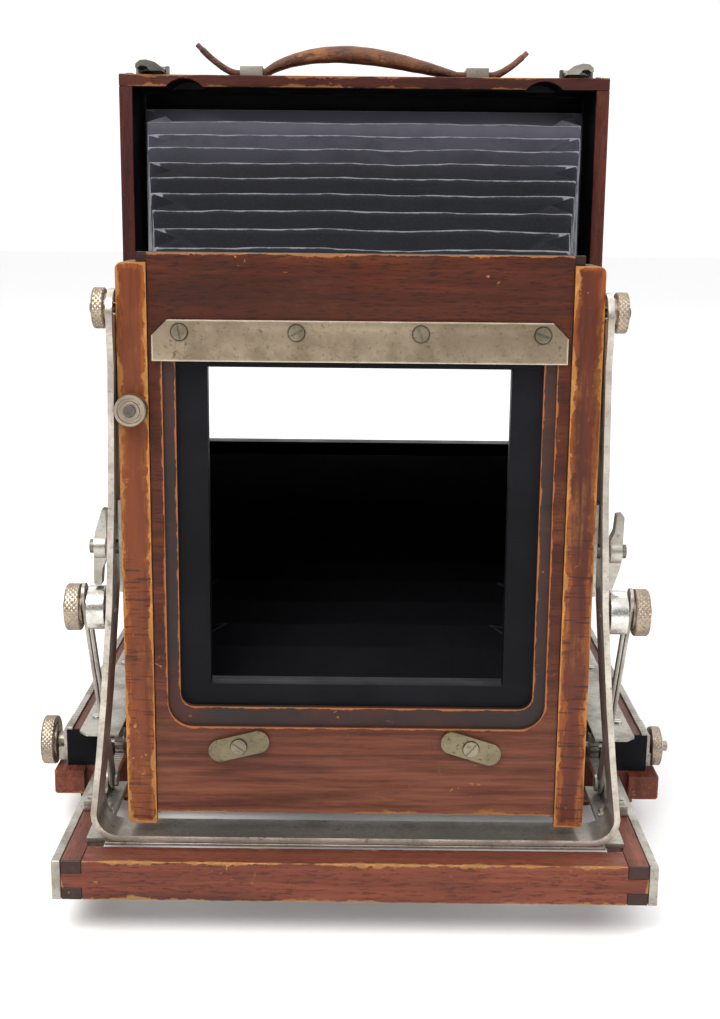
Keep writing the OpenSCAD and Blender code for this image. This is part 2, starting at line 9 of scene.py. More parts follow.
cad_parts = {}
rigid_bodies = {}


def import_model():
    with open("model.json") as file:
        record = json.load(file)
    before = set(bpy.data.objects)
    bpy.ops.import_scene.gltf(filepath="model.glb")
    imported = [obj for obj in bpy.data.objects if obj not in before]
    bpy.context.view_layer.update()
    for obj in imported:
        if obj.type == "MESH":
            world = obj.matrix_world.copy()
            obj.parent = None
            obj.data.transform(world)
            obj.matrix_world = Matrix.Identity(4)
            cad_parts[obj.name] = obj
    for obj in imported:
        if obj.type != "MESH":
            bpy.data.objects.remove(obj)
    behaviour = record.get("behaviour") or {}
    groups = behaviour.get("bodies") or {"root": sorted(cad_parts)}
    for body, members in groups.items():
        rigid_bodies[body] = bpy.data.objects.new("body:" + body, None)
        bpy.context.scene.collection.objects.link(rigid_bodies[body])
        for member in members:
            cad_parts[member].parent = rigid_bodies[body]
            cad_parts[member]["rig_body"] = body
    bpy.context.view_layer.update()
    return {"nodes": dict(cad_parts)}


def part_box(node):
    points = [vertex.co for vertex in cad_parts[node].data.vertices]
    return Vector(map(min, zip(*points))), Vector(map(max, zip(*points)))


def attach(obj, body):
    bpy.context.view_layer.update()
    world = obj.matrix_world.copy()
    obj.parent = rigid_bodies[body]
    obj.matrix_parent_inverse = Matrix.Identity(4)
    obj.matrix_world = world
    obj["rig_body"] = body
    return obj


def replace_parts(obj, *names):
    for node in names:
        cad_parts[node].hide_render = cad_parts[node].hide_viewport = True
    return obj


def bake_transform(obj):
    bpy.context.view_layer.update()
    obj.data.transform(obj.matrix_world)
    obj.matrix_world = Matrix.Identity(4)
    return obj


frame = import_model()
MM = 0.001

# ---------------------------------------------------------------- camera

CAMERA_AT = (0.0022, -0.8384, 0.3128)
CAMERA_TURN = (0.143, 11.95, 0.56)  # yaw, downward pitch and roll in degrees
CAMERA_LENS = 50.52


def place_camera():
    """Camera in front of the lens panel, a little above it and looking down."""
    yaw, pitch, roll = (math.radians(a) for a in CAMERA_TURN)
    look = Vector((-math.sin(yaw) * math.cos(pitch), math.cos(yaw) * math.cos(pitch), -math.sin(pitch)))
    side = look.cross(Vector((0, 0, 1))).normalized()
    up = side.cross(look)
    right = math.cos(roll) * side + math.sin(roll) * up
    top = -math.sin(roll) * side + math.cos(roll) * up
    data = bpy.data.cameras.new("camera")
    data.lens = CAMERA_LENS
    data.sensor_width = 36
    data.clip_start = 0.02
    data.clip_end = 30
    cam = bpy.data.objects.new("camera", data)
    bpy.context.scene.collection.objects.link(cam)
    turn = Matrix((right, top, -look)).transposed().to_4x4()
    cam.matrix_world = Matrix.Translation(CAMERA_AT) @ turn
    bpy.context.scene.camera = cam


place_camera()

# ---------------------------------------------------------------- material kit


class Nodes:
    """Short way to write a node material."""

    def __init__(self, name):
        self.mat = bpy.data.materials.new(name)
        self.mat.use_nodes = True
        self.tree = self.mat.node_tree
        self.tree.nodes.clear()
        self.out = self.tree.nodes.new("ShaderNodeOutputMaterial")
        self.bsdf = self.tree.nodes.new("ShaderNodeBsdfPrincipled")
        self.tree.links.new(self.bsdf.outputs[0], self.out.inputs[0])
        coord = self.tree.nodes.new("ShaderNodeTexCoord")
        self.place = coord.outputs["Object"]

    def put(self, socket, value):
        if isinstance(value, bpy.types.NodeSocket):
            self.tree.links.new(value, socket)
        elif isinstance(value, (tuple, list)) and len(value) == 3 and socket.type == "RGBA":
            socket.default_value = (*value, 1)
        else:
            socket.default_value = value

    def set(self, **values):
        for name, value in values.items():
            self.put(self.bsdf.inputs[name.replace("_", " ")], value)

    def math(self, op, a, b=0.0, clamp=False):
        n = self.tree.nodes.new("ShaderNodeMath")
        n.operation = op
        n.use_clamp = clamp
        self.put(n.inputs[0], a)
        self.put(n.inputs[1], b)
        return n.outputs[0]

    def scaled(self, scale):
        n = self.tree.nodes.new("ShaderNodeMapping")
        n.inputs["Scale"].default_value = scale
        self.put(n.inputs["Vector"], self.place)
        return n.outputs[0]

    def noise(self, scale, detail=4, rough=0.55, vector=None, distort=0.0):
        n = self.tree.nodes.new("ShaderNodeTexNoise")
        n.inputs["Scale"].default_value = scale
        n.inputs["Detail"].default_value = detail
        n.inputs["Roughness"].default_value = rough
        n.inputs["Distortion"].default_value = distort
        self.put(n.inputs["Vector"], vector or self.place)
        return n.outputs["Fac"]

    def voronoi(self, scale):
        n = self.tree.nodes.new("ShaderNodeTexVoronoi")
        n.inputs["Scale"].default_value = scale
        self.put(n.inputs["Vector"], self.place)
        return n.outputs["Distance"]

    def step(self, value, low, high, a=0.0, b=1.0):
        n = self.tree.nodes.new("ShaderNodeMapRange")
        n.interpolation_type = "SMOOTHSTEP"
        for i, v in enumerate((value, low, high, a, b)):
            self.put(n.inputs[i], v)
        return n.outputs[0]

    def mix(self, fac, a, b):
        n = self.tree.nodes.new("ShaderNodeMix")
        n.data_type = "RGBA"
        self.put(n.inputs[0], fac)
        self.put(n.inputs[6], a)
        self.put(n.inputs[7], b)
        return n.outputs[2]

    def ramp(self, value, stops):
        n = self.tree.nodes.new("ShaderNodeValToRGB")
        ramp = n.color_ramp
        while len(ramp.elements) < len(stops):
            ramp.elements.new(0.5)
        for e, (at, colour) in zip(ramp.elements, stops):
            e.position = at
            e.color = (*colour, 1)
        self.put(n.inputs[0], value)
        return n.outputs[0]

    def bump(self, height, distance, strength=1.0):
        n = self.tree.nodes.new("ShaderNodeBump")
        n.inputs["Strength"].default_value = strength
        n.inputs["Distance"].default_value = distance
        self.put(n.inputs["Height"], height)
        return n.outputs[0]

    def xyz(self):
        n = self.tree.nodes.new("ShaderNodeSeparateXYZ")
        self.put(n.inputs[0], self.place)
        return n.outputs

    def edge(self, lo, hi):
        """Distance in metres to the nearest edge of a box, for wear and for painted highlights along edges."""
        gaps = []
        for axis, out in enumerate(self.xyz()):
            below = self.math("SUBTRACT", out, lo[axis])
            above = self.math("SUBTRACT", hi[axis], out)
            gaps.append(self.math("MINIMUM", below, above))
        small = self.math("MINIMUM", gaps[0], gaps[1])
        big = self.math("MAXIMUM", gaps[0], gaps[1])
        return self.math("MAXIMUM", small, self.math("MINIMUM", big, gaps[2]))


GRAIN = {"X": (5, 95, 95), "Y": (95, 5, 95), "Z": (95, 95, 5)}


def wood(name, grain, dark, mid, light, worn, box=None, wear=1.0, scratches=1.0, rub=0.0, dent=0.0, paint=None,
         core=None, tint=None):
    """Varnished wood: long grain, open pores, thin rubbed edges, scratches and chips through to raw wood.

    paint(m) gives the mask of the black painted faces, and tint(m, colour) changes the colour before the wear
    is laid on. core = (kept, low, high, zone) leaves old dark varnish away from the edges: kept is the range of
    noise over which it stays, low and high are its colours, and zone is the range of z that has cross cuts.
    """
    m = Nodes(name)
    stretch = GRAIN[grain]
    long = m.scaled(stretch)
    bands = m.noise(1.0, 6, 0.62, long, 0.6)
    streaks = m.noise(1.0, 5, 0.65, m.scaled(tuple(v * 4.3 for v in stretch)))
    pores = m.noise(12.0, 3, 0.7, m.scaled(tuple(v * (1 if v > 50 else 2.5) for v in stretch)))
    cloud = m.noise(14, 4, 0.6)
    colour = m.ramp(bands, [(0.3, dark), (0.52, mid), (0.72, light)])
    colour = m.mix(m.step(streaks, 0.46, 0.66, 0, 0.55), colour, tuple(c * 0.5 for c in mid))
    colour = m.mix(m.step(pores, 0.53, 0.62, 0, 0.62), colour, tuple(c * 0.4 for c in dark))
    colour = m.mix(m.step(cloud, 0.4, 0.75, 0, 0.45), colour, tuple(c * 0.6 for c in mid))
    if tint:
        colour = tint(m, colour)
    gap = m.edge(*box) if box is not None else None
    masks = []
    if core:
        wob = m.math("MULTIPLY", m.math("SUBTRACT", m.noise(55, 5, 0.7), 0.5), 0.009)
        inside = m.step(m.math("ADD", gap, wob), 0.0016, 0.0034)
        kept = m.step(m.noise(16, 4, 0.6), *core[0])
        inside = m.math("MULTIPLY", inside, kept)
        inside = m.math("MULTIPLY", inside, m.step(streaks, 0.72, 0.55, 0.25, 1))
        colour = m.mix(inside, colour, m.mix(m.step(bands, 0.35, 0.65), core[1], core[2]))
        lines = m.noise(1.0, 3, 0.6, m.scaled((70, 70, 1100)))
        zone = m.step(m.math("ADD", m.xyz()[2], m.math("MULTIPLY", m.noise(40), 0.05)), *core[3])
        cuts = m.math("MULTIPLY", m.step(lines, 0.56, 0.62), zone)
        colour = m.mix(m.math("MULTIPLY", cuts, 0.7), colour, tuple(c * 0.45 for c in core[1]))
    if box is not None:
        rough_edge = m.noise(190, 5, 0.65)
        patch = m.noise(24, 3, 0.6)
        reach = m.math("MULTIPLY", m.step(patch, 0.34, 0.72, 0.1, 2.4), 0.00075 * wear)
        reach = m.math("MULTIPLY", reach, m.step(rough_edge, 0.3, 0.75, 0.25, 2.1))
        masks.append(m.step(m.math("DIVIDE", gap, reach), 0.55, 1.15, 1, 0))
    if rub:
        rubbed = m.math("MULTIPLY", m.step(m.noise(26, 5, 0.7), 0.52, 0.68), rub)
        masks.append(m.math("MULTIPLY", rubbed, m.step(streaks, 0.42, 0.58)))
    if scratches:
        for turned, scale, where, size in (((0.3, 0.5, 0.5), (20, 20, 95), 37, 0.0045),
                                           ((0.2, -0.9, 1.1), (95, 24, 20), 29, 0.004)):
            turn = m.tree.nodes.new("ShaderNodeMapping")
            turn.inputs["Rotation"].default_value = turned
            turn.inputs["Scale"].default_value = scale
            m.put(turn.inputs["Vector"], m.place)
            line = m.math("ABSOLUTE", m.math("SUBTRACT", m.noise(2.1, 1, 0.5, turn.outputs[0], 0.4), 0.5))
            here = m.step(m.noise(where, 2), 0.63, 0.68)
            masks.append(m.math("MULTIPLY", m.step(line, 0.0, size, 0.8 * scratches, 0), here))
        chips = m.step(m.noise(330, 2), 0.66, 0.7, 0, scratches)
        chips = m.math("MULTIPLY", chips, m.step(m.noise(31, 2), 0.6, 0.66))
        masks.append(chips)
    mask = None
    for one in masks:
        mask = one if mask is None else m.math("MAXIMUM", mask, one)
    if mask is not None:
        raw = m.mix(m.step(pores, 0.4, 0.65), worn, tuple(c * 0.55 for c in worn))
        uneven = rough_edge if box is not None else cloud
        raw = m.mix(m.step(uneven, 0.4, 0.6), raw, tuple(c * 0.6 for c in worn))
        colour = m.mix(mask, colour, raw)
    if paint is not None:
        black = paint(m)
        coat = m.mix(m.step(cloud, 0.4, 0.7), (0.0035, 0.0035, 0.0045), (0.007, 0.007, 0.0095))
        colour = m.mix(black, colour, coat)
    rough = m.step(m.noise(40, 4), 0.3, 0.75, 0.38, 0.54)
    if mask is not None:
        rough = m.math("ADD", rough, m.math("MULTIPLY", mask, 0.25), True)
    height = m.math("SUBTRACT", m.math("MULTIPLY", bands, 0.35), m.math("MULTIPLY", pores, 0.6))
    height = m.math("SUBTRACT", height, m.math("MULTIPLY", streaks, 0.3))
    if dent:
        height = m.math("ADD", height, m.math("MULTIPLY", m.step(m.noise(70, 2), 0.62, 0.75), -dent))
    if mask is not None:
        height = m.math("SUBTRACT", height, m.math("MULTIPLY", mask, 0.5))
    m.set(Base_Color=colour, Roughness=rough, Normal=m.bump(height, 0.00025, 0.8))
    gloss = 0.06 if paint is None else m.math("MULTIPLY", m.math("SUBTRACT", 1.0, black), 0.06)
    shine = 0.2 if paint is None else m.math("SUBTRACT", 0.2, m.math("MULTIPLY", black, 0.1))
    m.set(Coat_Weight=gloss, Coat_Roughness=0.3, Specular_IOR_Level=shine)
    return m.mat


def beyond(axis, limit, sign=1, soft=0.0006):
    """Mask of the points past a plane: +1 above limit, -1 below it."""
    def mask(m):
        value = m.math("MULTIPLY", m.xyz()[axis], float(sign))
        return m.step(value, sign * limit - soft / 2, sign * limit + soft / 2)
    return mask


def both(*masks):
    def mask(m):
        out = masks[0](m)
        for other in masks[1:]:
            out = m.math("MULTIPLY", out, other(m))
        return out
    return mask


def either(*masks):
    def mask(m):
        out = masks[0](m)
        for other in masks[1:]:
            out = m.math("MAXIMUM", out, other(m))
        return out
    return mask


def near_middle(limit, soft=0.0006):
    """Mask of the points with |x| below a limit."""
    return lambda m: m.step(m.math("ABSOLUTE", m.xyz()[0]), limit - soft / 2, limit + soft / 2, 1, 0)


def metal(name, colour, stain, rough=(0.3, 0.5), speckle=0.5, brushed=None, bright=None, box=None, pits=0.3,
          marks=None, rings=None):
    """Old nickel plate: warm grey, stained in clouds, speckled with pits, and brighter along the edges, a painted
    highlight partly from rubbed plating.
    """
    m = Nodes(name)
    cloud = m.noise(55, 6, 0.68)
    fine = m.noise(650, 4, 0.7)
    base = m.mix(m.step(cloud, 0.4, 0.66), colour, stain)
    base = m.mix(m.step(m.noise(17, 3), 0.42, 0.7, 0, 0.5), base, tuple(c * 0.8 for c in stain))
    base = m.mix(m.step(fine, 0.55, 0.7, 0, speckle), base, tuple(c * 0.35 for c in stain))
    base = m.mix(m.step(m.noise(230, 3, 0.6), 0.66, 0.72, 0, speckle), base, tuple(c * 0.3 for c in stain))
    height = m.math("MULTIPLY", m.step(fine, 0.55, 0.7), -pits)
    if brushed:
        lines = m.noise(1.0, 3, 0.6, m.scaled(brushed))
        height = m.math("ADD", height, m.math("MULTIPLY", lines, 0.35))
        base = m.mix(m.step(lines, 0.45, 0.7, 0, 0.25), base, tuple(c * 0.6 for c in colour))
    if marks:
        wave = m.math("SINE", m.math("MULTIPLY", m.xyz()[1], 2 * math.pi / marks))
        base = m.mix(m.step(wave, 0.86, 0.97, 0, 0.75), base, (0.03, 0.027, 0.024))
    for cx, cz in rings or ():
        x, _, z = m.xyz()
        dx = m.math("SUBTRACT", x, cx)
        dz = m.math("SUBTRACT", z, cz)
        far = m.math("SQRT", m.math("ADD", m.math("MULTIPLY", dx, dx), m.math("MULTIPLY", dz, dz)))
        base = m.mix(m.step(m.math("ADD", far, m.math("MULTIPLY", m.noise(260), 0.0006)), 0.0038, 0.0043, 0.85, 0),
                     base, (0.035, 0.028, 0.018))
    # Painted highlight: the edges of the box are painted brighter, partly rubbed plating and partly light caught on
    # the edge.
    if box is not None:
        gap = m.math("ADD", m.edge(*box), m.math("MULTIPLY", m.noise(120, 3), 0.0006))
        shine = m.step(gap, 0.0004, 0.0011, 1, 0)
        base = m.mix(shine, base, bright or (0.8, 0.77, 0.72))
    r = m.step(cloud, 0.3, 0.7, rough[0], rough[1])
    r = m.math("ADD", r, m.step(fine, 0.5, 0.7, 0, 0.15), True)
    m.set(Base_Color=base, Metallic=0.92, Roughness=r, Normal=m.bump(height, 0.00012, 0.7))
    return m.mat


# ---------------------------------------------------------------- mesh kit


def add(name, verts, faces, material, body=None, smooth=True, sharp=32):
    mesh = bpy.data.meshes.new(name)
    mesh.from_pydata(verts, [], faces)
    mesh.validate()
    mesh.update()
    return finish_mesh(name, mesh, material, body, smooth, sharp)


def finish_mesh(name, mesh, material, body=None, smooth=True, sharp=32):
    if smooth:
        mesh.polygons.foreach_set("use_smooth", [True] * len(mesh.polygons))
        mesh.set_sharp_from_angle(angle=math.radians(sharp))
    mesh.materials.append(material)
    o = bpy.data.objects.new(name, mesh)
    bpy.context.scene.collection.objects.link(o)
    if body:
        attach(o, body)
    return o


def body_of(node):
    return frame["nodes"][node]["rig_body"]


def refine(node, width, material, segments=3, sharp=40):
    """The CAD node again, with its edges rounded over by width."""
    bm = bmesh.new()
    bm.from_mesh(frame["nodes"][node].data)
    bmesh.ops.remove_doubles(bm, verts=bm.verts, dist=2e-6)
    bmesh.ops.dissolve_limit(bm, angle_limit=math.radians(1), verts=bm.verts, edges=bm.edges)
    hard = [e for e in bm.edges if len(e.link_faces) == 2 and e.calc_face_angle(0) > math.radians(sharp)]
    bmesh.ops.bevel(bm, geom=hard, offset=width, segments=segments, profile=0.6, affect="EDGES",
                    clamp_overlap=True)
    bmesh.ops.triangulate(bm, faces=[f for f in bm.faces if len(f.verts) > 4])
    mesh = bpy.data.meshes.new(node + "_finished")
    bm.to_mesh(mesh)
    bm.free()
    o = finish_mesh(node + "_finished", mesh, material, body_of(node), sharp=28)
    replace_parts(o, node)
    return o


def spin(v, axis, centre):
    """A point made along +X, turned to point along axis and moved to centre in metres."""
    x, y, z = v
    turned_to = {"+X": (x, y, z), "-X": (-x, -y, z), "-Y": (y, -x, z)}[axis]
    return tuple(a + b for a, b in zip(turned_to, centre))


CHAMFER = 0.5


def knurled(name, axis, centre, spans, radius, depth, material, body, across):
    """A round knob: spans are (from, to, radius or None) along the axis; None is the knurled band."""
    around = across * 4
    rings = []
    for a, b, r in spans:
        if r is None:
            n = max(6, int((b - a) / 0.42))
            c = CHAMFER
            rings.append((a, radius - c, 0))
            rings.append((a + c, radius - 0.1, 0))
            for i in range(n + 1):
                rings.append((a + c + (b - a - 2 * c) * i / n, radius, 1))
            rings.append((b - c, radius - 0.1, 0))
            rings.append((b, radius - c, 0))
        else:
            rings.append((a, r, 0))
            if b > a:
                rings.append((b, r, 0))
    verts, faces = [], []
    for d, r, on in rings:
        for k in range(around):
            t = 2 * math.pi * k / around
            rr = r
            if on:
                u = across * t / (2 * math.pi)
                v = d / (2 * math.pi * radius / across)
                p = abs(((u + v) % 1) - 0.5) * 2
                q = abs(((u - v) % 1) - 0.5) * 2
                rr = r - depth * (1 - min(1, 1.35 * min(p, q)))
            verts.append((d * MM, rr * MM * math.cos(t), rr * MM * math.sin(t)))
    for i in range(len(rings) - 1):
        for k in range(around):
            n = (k + 1) % around
            faces.append((i * around + k, i * around + n, (i + 1) * around + n, (i + 1) * around + k))
    faces.append(tuple(range(around))[::-1])
    faces.append(tuple((len(rings) - 1) * around + k for k in range(around)))
    verts = [spin(v, axis, centre) for v in verts]
    return add(name, verts, faces, material, body, sharp=50)


# ---------------------------------------------------------------- materials

MAHOGANY = dict(dark=(0.06, 0.016, 0.01), mid=(0.155, 0.04, 0.022), light=(0.235, 0.068, 0.035))
BOXWOOD = dict(dark=(0.03, 0.007, 0.005), mid=(0.068, 0.014, 0.009), light=(0.105, 0.025, 0.014))
RED = dict(dark=(0.026, 0.006, 0.003), mid=(0.068, 0.014, 0.005), light=(0.12, 0.03, 0.009))
ORANGE = dict(dark=(0.11, 0.027, 0.008), mid=(0.205, 0.052, 0.012), light=(0.3, 0.088, 0.02))
WORN = (0.40, 0.165, 0.05)
NICKEL = ((0.46, 0.43, 0.38), (0.30, 0.27, 0.225))

rail_front = both(beyond(1, -0.1445, -1), beyond(2, 0.0303))
for side in ("left", "right"):
    node = "main_rail_" + side
    refine(node, 0.0006, wood(node + "_wood", "Y", box=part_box(node), worn=WORN, wear=0.9, rub=0.2,
                              paint=rail_front, **MAHOGANY))
for node, grain in (("bed_board", "X"), ("bed_cross_rail", "X"), ("tripod_block", "X"), ("rear_base", "X"),
                    ("slide_rear_rail", "X")):
    refine(node, 0.0006, wood(node + "_wood", grain, box=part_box(node), worn=WORN, wear=0.8, **MAHOGANY))
refine("bed_battens", 0.0008, wood("batten_wood", "X", worn=WORN, rub=0.5, **MAHOGANY))


NOTCH_AT = (0.109, 0.3728)
NOTCH_EDGE = (0.0151, 0.0157)


def finger_notch(m):
    """Mask of the two round notches under the front edge of the top board."""
    x, y, z = m.xyz()
    dx = m.math("SUBTRACT", m.math("ABSOLUTE", x), NOTCH_AT[0])
    dz = m.math("SUBTRACT", z, NOTCH_AT[1])
    far = m.math("SQRT", m.math("ADD", m.math("MULTIPLY", dx, dx), m.math("MULTIPLY", dz, dz)))
    return m.math("MULTIPLY", m.step(far, *NOTCH_EDGE, 1, 0), m.step(y, 0.0605, 0.0612))


behind_front = beyond(1, 0.0611)
refine("box_top", 0.0007, wood("box_top_wood", "X", box=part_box("box_top"), worn=WORN, wear=1.0, rub=0.1,
                               paint=either(both(behind_front, beyond(2, 0.3835, -1)), finger_notch), **BOXWOOD))
refine("box_bottom", 0.0006, wood("box_bottom_wood", "X", box=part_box("box_bottom"), worn=WORN, wear=0.7,
                                  paint=both(behind_front, beyond(2, 0.1325)), **BOXWOOD))
refine("box_sides", 0.0007, wood("box_side_wood", "Z", worn=WORN, rub=0.12,
                                 paint=both(behind_front, near_middle(0.1412)), **BOXWOOD))
refine("back_frame", 0.0007, wood("back_frame_wood", "X", worn=WORN, paint=beyond(1, 0.1293, -1), **BOXWOOD))
refine("front_rail", 0.0007, wood("front_rail_wood", "X", box=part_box("front_rail"), worn=(0.45, 0.22, 0.07),
                                  wear=0.9, rub=0.08, dent=0.4, **MAHOGANY))


def end_grain(m, colour):
    """Dark end grain on the fingers at the front corners."""
    front = m.step(m.xyz()[1], -0.2672, -0.2666, 1, 0)
    return m.mix(front, colour, m.mix(m.noise(300, 3), (0.02, 0.012, 0.011), (0.055, 0.026, 0.02)))


refine("slide_rails", 0.0007, wood("slide_rail_wood", "Y", worn=WORN, rub=0.15, tint=end_grain, **MAHOGANY))
for side, keep, low, high, zone in (
        ("left", (0.3, 0.47), (0.075, 0.018, 0.008), (0.15, 0.038, 0.013), (0.2, 0.185)),
        ("right", (0.14, 0.34), (0.05, 0.012, 0.007), (0.105, 0.024, 0.011), (0.215, 0.2))):
    node = "post_" + side
    refine(node, 0.0011, wood(node + "_wood", "Z", box=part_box(node), worn=(0.5, 0.215, 0.055), wear=1.5, rub=0.3,
                              dent=0.6, core=(keep, low, high, zone), **ORANGE))
black_wood = wood("black_wood", "X", (0.004, 0.004, 0.005), (0.006, 0.006, 0.008), (0.009, 0.009, 0.012),
                  (0.05, 0.03, 0.02), scratches=0.0, paint=beyond(0, -1.0))
refine("frame_bottom_rail", 0.0006, black_wood)
refine("bellows_front_frame", 0.0006, black_wood)


def outline(m, half, low, radius):
    """Signed distance to a slot open at the top with round lower corners, in the plane of the lens panel."""
    x, _, z = m.xyz()
    qx = m.math("SUBTRACT", m.math("ABSOLUTE", x), half - radius)
    qz = m.math("SUBTRACT", low + radius, z)
    ox = m.math("MAXIMUM", qx, 0.0)
    oz = m.math("MAXIMUM", qz, 0.0)
    out = m.math("SQRT", m.math("ADD", m.math("MULTIPLY", ox, ox), m.math("MULTIPLY", oz, oz)))
    inn = m.math("MINIMUM", m.math("MAXIMUM", qx, qz), 0.0)
    return m.math("SUBTRACT", m.math("ADD", out, inn), radius)


PANEL_RIM = (-0.2486, -0.2481)


def panel_tint(m, colour):
    """Dark stain in the round rim of the seat, its two edges rubbed to orange, and a paler streaked lower part."""
    y = m.xyz()[1]
    rim = m.step(y, *PANEL_RIM)
    stain = m.mix(m.step(m.noise(30, 4), 0.4, 0.65), (0.022, 0.014, 0.013), (0.045, 0.016, 0.012))
    colour = m.mix(rim, colour, stain)
    streak = m.noise(1.0, 5, 0.65, m.scaled(tuple(v * 2.2 for v in GRAIN["X"])))
    streak = m.step(streak, 0.35, 0.65, 0.1, 0.85)
    rubbed = m.math("MULTIPLY", m.step(m.xyz()[2], 0.14, 0.05), streak)
    rubbed = m.math("MULTIPLY", rubbed, m.step(y, *PANEL_RIM, 1, 0))
    colour = m.mix(rubbed, colour, (0.185, 0.06, 0.032))
    for half, low, radius, face in ((0.0817, 0.0906, 0.011, -0.2484), (0.0765, 0.099, 0.006, -0.2462)):
        gap = m.math("ABSOLUTE", outline(m, half, low, radius))
        width = m.step(m.noise(90, 4, 0.7), 0.35, 0.7, 0.0001, 0.0011)
        near = m.step(m.math("DIVIDE", gap, width), 0.5, 1.2, 1, 0)
        near = m.math("MULTIPLY", near, m.step(y, face, face + 0.0004, 1, 0))
        near = m.math("MULTIPLY", near, m.step(m.xyz()[2], 0.2495, 0.2505, 1, 0))
        colour = m.mix(m.math("MULTIPLY", near, 0.85), colour, (0.33, 0.105, 0.03))
    return colour


# The paint mask blackens the panel behind its seat, the recess ledge and opening sides: black paint, with painted
# shade deep in the recess.
refine("lens_panel", 0.0006, wood("lens_panel_wood", "X", box=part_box("lens_panel"), worn=WORN, wear=1.0, rub=0.06,
                                  dent=0.2, tint=panel_tint, paint=beyond(1, -0.2439), **RED))

nickel = metal("nickel", *NICKEL, rough=(0.3, 0.48), speckle=0.55)
# The strip's bright edge colour is a painted highlight along its edges, partly rubbed plating.
nickel_strip = metal("nickel_strip", (0.34, 0.27, 0.19), (0.215, 0.165, 0.11), rough=(0.38, 0.54), speckle=0.6,
                     box=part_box("retainer_strip"), bright=(0.56, 0.48, 0.38), pits=0.5,
                     rings=[(x, 0.262) for x in (-0.074, -0.026, 0.025, 0.075)])
ticked = metal("ticked_nickel", *NICKEL, rough=(0.34, 0.5), speckle=0.5, marks=0.0032)
bright = metal("bright_nickel", (0.72, 0.70, 0.66), (0.55, 0.52, 0.47), rough=(0.16, 0.3), speckle=0.25)
knob_metal = metal("knob_metal", (0.44, 0.36, 0.28), (0.27, 0.215, 0.16), rough=(0.3, 0.46), speckle=0.5)
dark_steel = metal("dark_steel", (0.19, 0.175, 0.155), (0.1, 0.09, 0.08), rough=(0.4, 0.6), speckle=0.5)
latch_metal = metal("latch_metal", (0.21, 0.175, 0.11), (0.13, 0.105, 0.065), rough=(0.36, 0.54), speckle=0.6,
                    pits=0.6, rings=((-0.051, 0.0824), (0.05, 0.0824)))
screw_metal = metal("screw_metal", (0.27, 0.23, 0.165), (0.15, 0.125, 0.085), rough=(0.36, 0.52), speckle=0.6)
band = metal("bracket_nickel", (0.6, 0.545, 0.475), (0.38, 0.335, 0.28), rough=(0.28, 0.46), speckle=0.6,
             brushed=(60, 900, 60))

for node, width, material in (
        ("tripod_plate", 0.0004, nickel), ("edge_strips", 0.0003, ticked), ("track_plates", 0.0003, nickel),
        ("track_screws", 0.00015, bright), ("pinion_bearings", 0.0003, nickel), ("rear_arms", 0.0004, nickel),
        ("corner_plates", 0.0003, nickel), ("case_screws", 0.00015, bright), ("catch_bases", 0.0003, dark_steel),
        ("catch_left", 0.0003, dark_steel), ("catch_right", 0.0003, nickel), ("handle_loops", 0.0004, nickel),
        ("runner_bars", 0.0004, nickel), ("racks", 0.0001, nickel), ("focus_shaft", 0.0003, bright),
        ("pinions", 0.0001, nickel), ("carriage_plate", 0.0003, nickel), ("tilt_hinge_pin", 0.0003, bright),
        ("shoes", 0.0004, nickel), ("strut_left", 0.0003, nickel), ("strut_right", 0.0003, nickel),
        ("u_bracket", 0.0005, band), ("bosses", 0.0006, bright), ("post_plates", 0.0003, nickel),
        ("pivot_bolts", 0.0003, dark_steel), ("clamp_studs", 0.0003, dark_steel),
        ("wing_nut_left", 0.0009, nickel), ("wing_nut_right", 0.0009, nickel),
        ("retainer_strip", 0.0003, nickel_strip), ("panel_screws", 0.0002, screw_metal),
        ("latch_left", 0.0005, latch_metal), ("latch_right", 0.0005, latch_metal)):
    refine(node, width, material)

# ---------------------------------------------------------------- knurled knobs

drive = (0, -0.138, 0.0411)
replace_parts(knurled("focus_knob_knurled", "-X", drive,
                    [(154.3, 155, 9), (155, 161.4, None), (161.4, 161.4, 10.4), (160.9, 160.9, 9.6),
                     (160.9, 160.9, 5), (162.2, 162.2, 4.4)],
                    12.5, 0.6, knob_metal, "focus_shaft", across=38), "focus_knob")
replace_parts(knurled("focus_lock_knurled", "+X", drive,
                    [(151.2, 156.4, None), (156.4, 156.4, 6.2), (157.4, 157.4, 5.8), (157.4, 157.4, 2.6),
                     (160.2, 160.2, 2.6), (160.5, 160.5, 2.1)], 10, 0.45, knob_metal, "focus_lock", across=34),
            "focus_lock_knob")
for side, axis in (("left", "-X"), ("right", "+X")):
    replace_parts(knurled("strut_knob_%s_knurled" % side, axis, (0, -0.2445, 0.143),
                        [(117.8, 118.6, 7.3), (118.6, 124.8, None), (124.8, 124.8, 8.2), (124.4, 124.4, 7.6)],
                        10.2, 0.55, knob_metal, "strut_knob_" + side, across=32), "strut_knob_" + side)
    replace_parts(knurled("top_knob_%s_knurled" % side, axis, (0, -0.2445, 0.271),
                        [(104, 105, 6.1), (105, 109.8, None), (109.8, 109.8, 6.8), (109.5, 109.5, 6.2)],
                        8.5, 0.5, knob_metal, "top_knob_" + side, across=28), "top_knob_" + side)
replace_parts(knurled("rise_lock_knurled", "-Y", (-0.094, -0.25, 0.23),
                    [(0.3, 1, 5), (1, 7.6, None), (7.6, 7.6, 5.3), (6.9, 6.9, 5.1), (6.9, 6.9, 4.1),
                     (7.6, 7.6, 3.9), (7.6, 7.6, 2.6)], 6.75, 0.3, knob_metal, "rise_lock", across=26),
            "rise_lock_knob")

# ---------------------------------------------------------------- bellows

PITCH = 25.7
REAR_Y = 95
FRONT_Y = -227.2
BACK_END = 115.6
DEPTH = 12.5
GUSSET = 31


def bellows_size(y):
    t = (y - FRONT_Y) / (REAR_Y - FRONT_Y)
    return 86 + 52 * t, 96 + 48 * t, 262 + 110 * t


